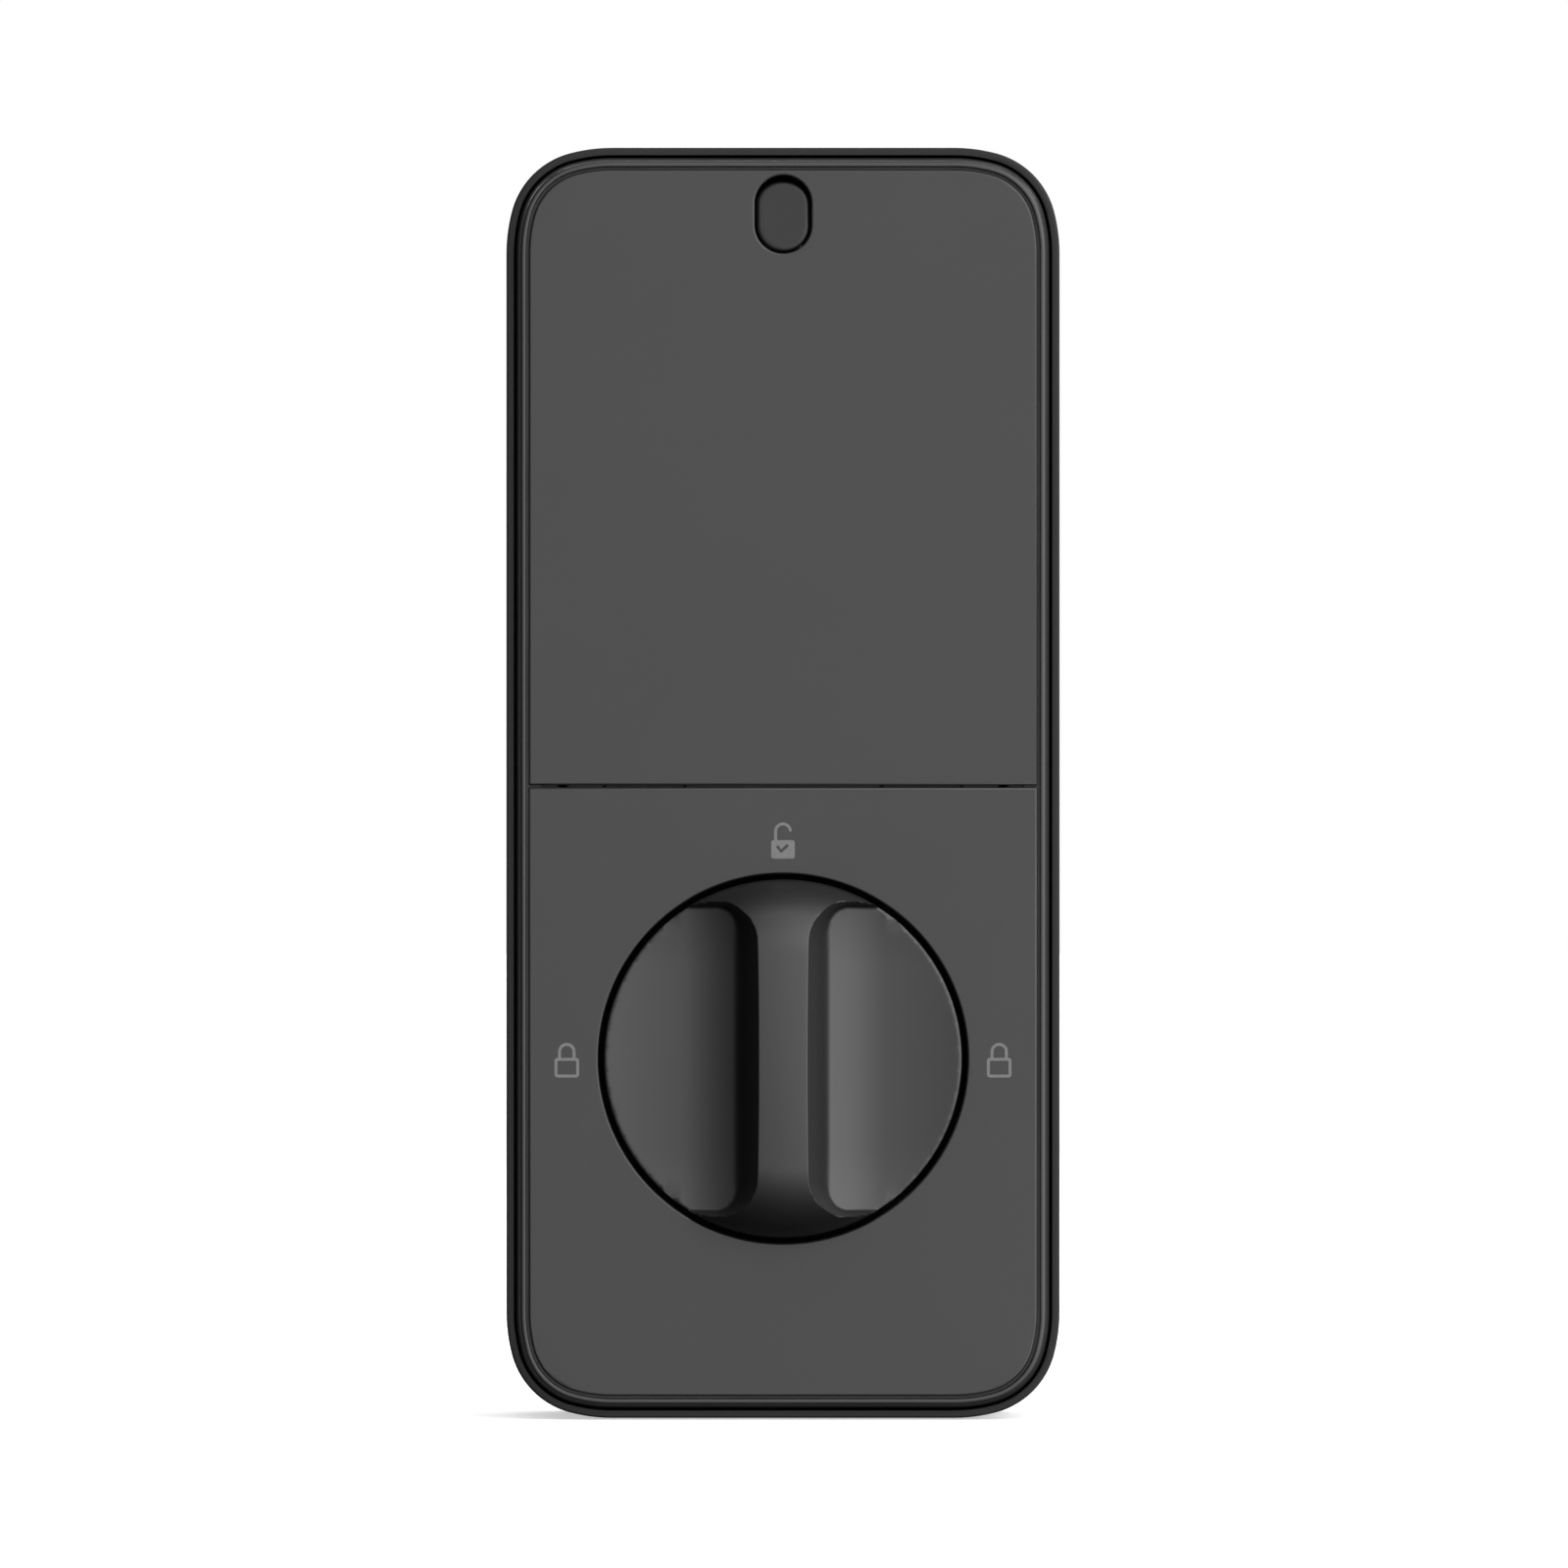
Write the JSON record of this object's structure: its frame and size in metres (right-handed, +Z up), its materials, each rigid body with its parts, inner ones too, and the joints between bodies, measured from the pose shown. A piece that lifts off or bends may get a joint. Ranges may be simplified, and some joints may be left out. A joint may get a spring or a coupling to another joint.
{
  "type": "smart lock indoor unit",
  "caption": "Battery-powered indoor unit of a motorised deadbolt: rounded wall box with a round thumbturn, gear drive, removable battery cover and door plate.",
  "frame": {"origin": "on the thumbturn spindle's axis, in the plane of the door's face", "axes": "+X right, -Y towards the user, +Y into the door along the tailpiece, +Z up"},
  "size_m": [0.072, 0.0435, 0.1653],
  "materials": {
    "shell_plastic": "fine matte texture",
    "frame_plastic": "satin, near black",
    "panel_plastic": "fine matte, dark grey",
    "knob_plastic": "satin, dark grey",
    "latch_plastic": "matte",
    "mark_ink": "light grey inlay",
    "seal_rubber": "soft black",
    "foam": "open-cell foam",
    "inner_plastic": "moulded, unpainted",
    "gear_plastic": "natural acetal",
    "zinc_steel": "zinc plated",
    "spring_steel": "nickel plated",
    "plate_steel": "galvanised sheet",
    "bronze": "sintered bronze",
    "brass": "turned",
    "pcb": "green solder mask",
    "chip_black": "moulded epoxy",
    "shield": "tinned can",
    "connector": "nylon",
    "flex": "polyimide film",
    "cell_wrap": "printed film sleeve",
    "die_cast": "zinc die casting"
  },
  "bodies": {
    "housing": {"rear_shell": "shell_plastic", "door_gasket": "seal_rubber", "housing_seal": "seal_rubber", "front_frame": "frame_plastic", "lower_fascia": "panel_plastic", "lock_icons": "mark_ink", "battery_tray": "inner_plastic", "battery_contacts": "spring_steel", "battery_springs": "spring_steel", "main_board": "pcb", "radio_module": "shield", "buzzer": "chip_black", "board_components": "chip_black", "cable_header": "connector", "setup_switch": "chip_black", "motor_flex": "flex", "motor": "zinc_steel", "gearbox_base": "plate_steel", "gearbox_cover": "plate_steel", "gearbox_posts": "zinc_steel", "gear_axles": "zinc_steel", "front_bush": "bronze", "rear_bush": "bronze", "mounting_plate": "plate_steel", "plate_standoffs": "zinc_steel", "case_screws": "zinc_steel", "gearbox_screws": "zinc_steel", "motor_screws": "zinc_steel", "board_screws": "zinc_steel", "plate_screws": "zinc_steel", "bottom_screw": "zinc_steel", "battery_1": "cell_wrap", "battery_2": "cell_wrap", "battery_3": "cell_wrap", "battery_4": "cell_wrap"},
    "thumbturn": {"thumbturn_knob": "knob_plastic", "thumbturn_spindle": "die_cast", "spindle_screws": "zinc_steel", "position_magnet": "spring_steel", "output_gear": "gear_plastic", "retaining_clip": "zinc_steel"},
    "second_stage": {"gear_stage_2": "gear_plastic"},
    "first_stage": {"gear_stage_1": "gear_plastic"},
    "motor_rotor": {"motor_pinion": "brass", "motor_shaft": "zinc_steel"},
    "cover": {"battery_cover": "panel_plastic", "cover_pads": "foam", "latch_pin": "zinc_steel", "latch_spring": "spring_steel"},
    "latch": {"cover_latch": "latch_plastic"},
    "setup_plunger": {"setup_button": "connector"}
  },
  "joints": [
    {"name": "knob_turn", "type": "hinge", "parent": "housing", "child": "thumbturn", "pos_m": [0, 0, 0], "axis": [0, 1, 0], "range_deg": [-90, 90]},
    {"name": "second_stage_turn", "type": "hinge", "parent": "housing", "child": "second_stage", "pos_m": [-0.01397, 0, -0.02049], "axis": [0, 1, 0], "range_deg": [-377, 377]},
    {"name": "first_stage_turn", "type": "hinge", "parent": "housing", "child": "first_stage", "pos_m": [0.00324, 0, -0.02575], "axis": [0, 1, 0], "range_deg": [-1502, 1502]},
    {"name": "motor_turn", "type": "hinge", "parent": "housing", "child": "motor_rotor", "pos_m": [0.01724, 0, -0.03112], "axis": [0, 1, 0], "range_deg": [-7502, 7502]},
    {"name": "cover_tip", "type": "hinge", "parent": "housing", "child": "cover", "pos_m": [0, -0.0335, 0.0354], "axis": [1, 0, 0], "range_deg": [0, 75]},
    {"name": "latch_press", "type": "hinge", "parent": "cover", "child": "latch", "pos_m": [0, -0.0294, 0.1056], "axis": [-1, 0, 0], "range_deg": [0, 15], "stiffness_Nm_per_rad": 0.02, "springref_deg": -17.19},
    {"name": "setup_press", "type": "slide", "parent": "housing", "child": "setup_plunger", "axis": [0, 1, 0], "range_m": [0, 0.0005], "stiffness_N_per_m": 1500, "springref_m": -0.0006}
  ],
  "couplings": [
    {"joint": "second_stage_turn", "follows": "knob_turn", "ratio": -4.1667},
    {"joint": "first_stage_turn", "follows": "knob_turn", "ratio": 16.667},
    {"joint": "motor_turn", "follows": "knob_turn", "ratio": -83.333}
  ]
}
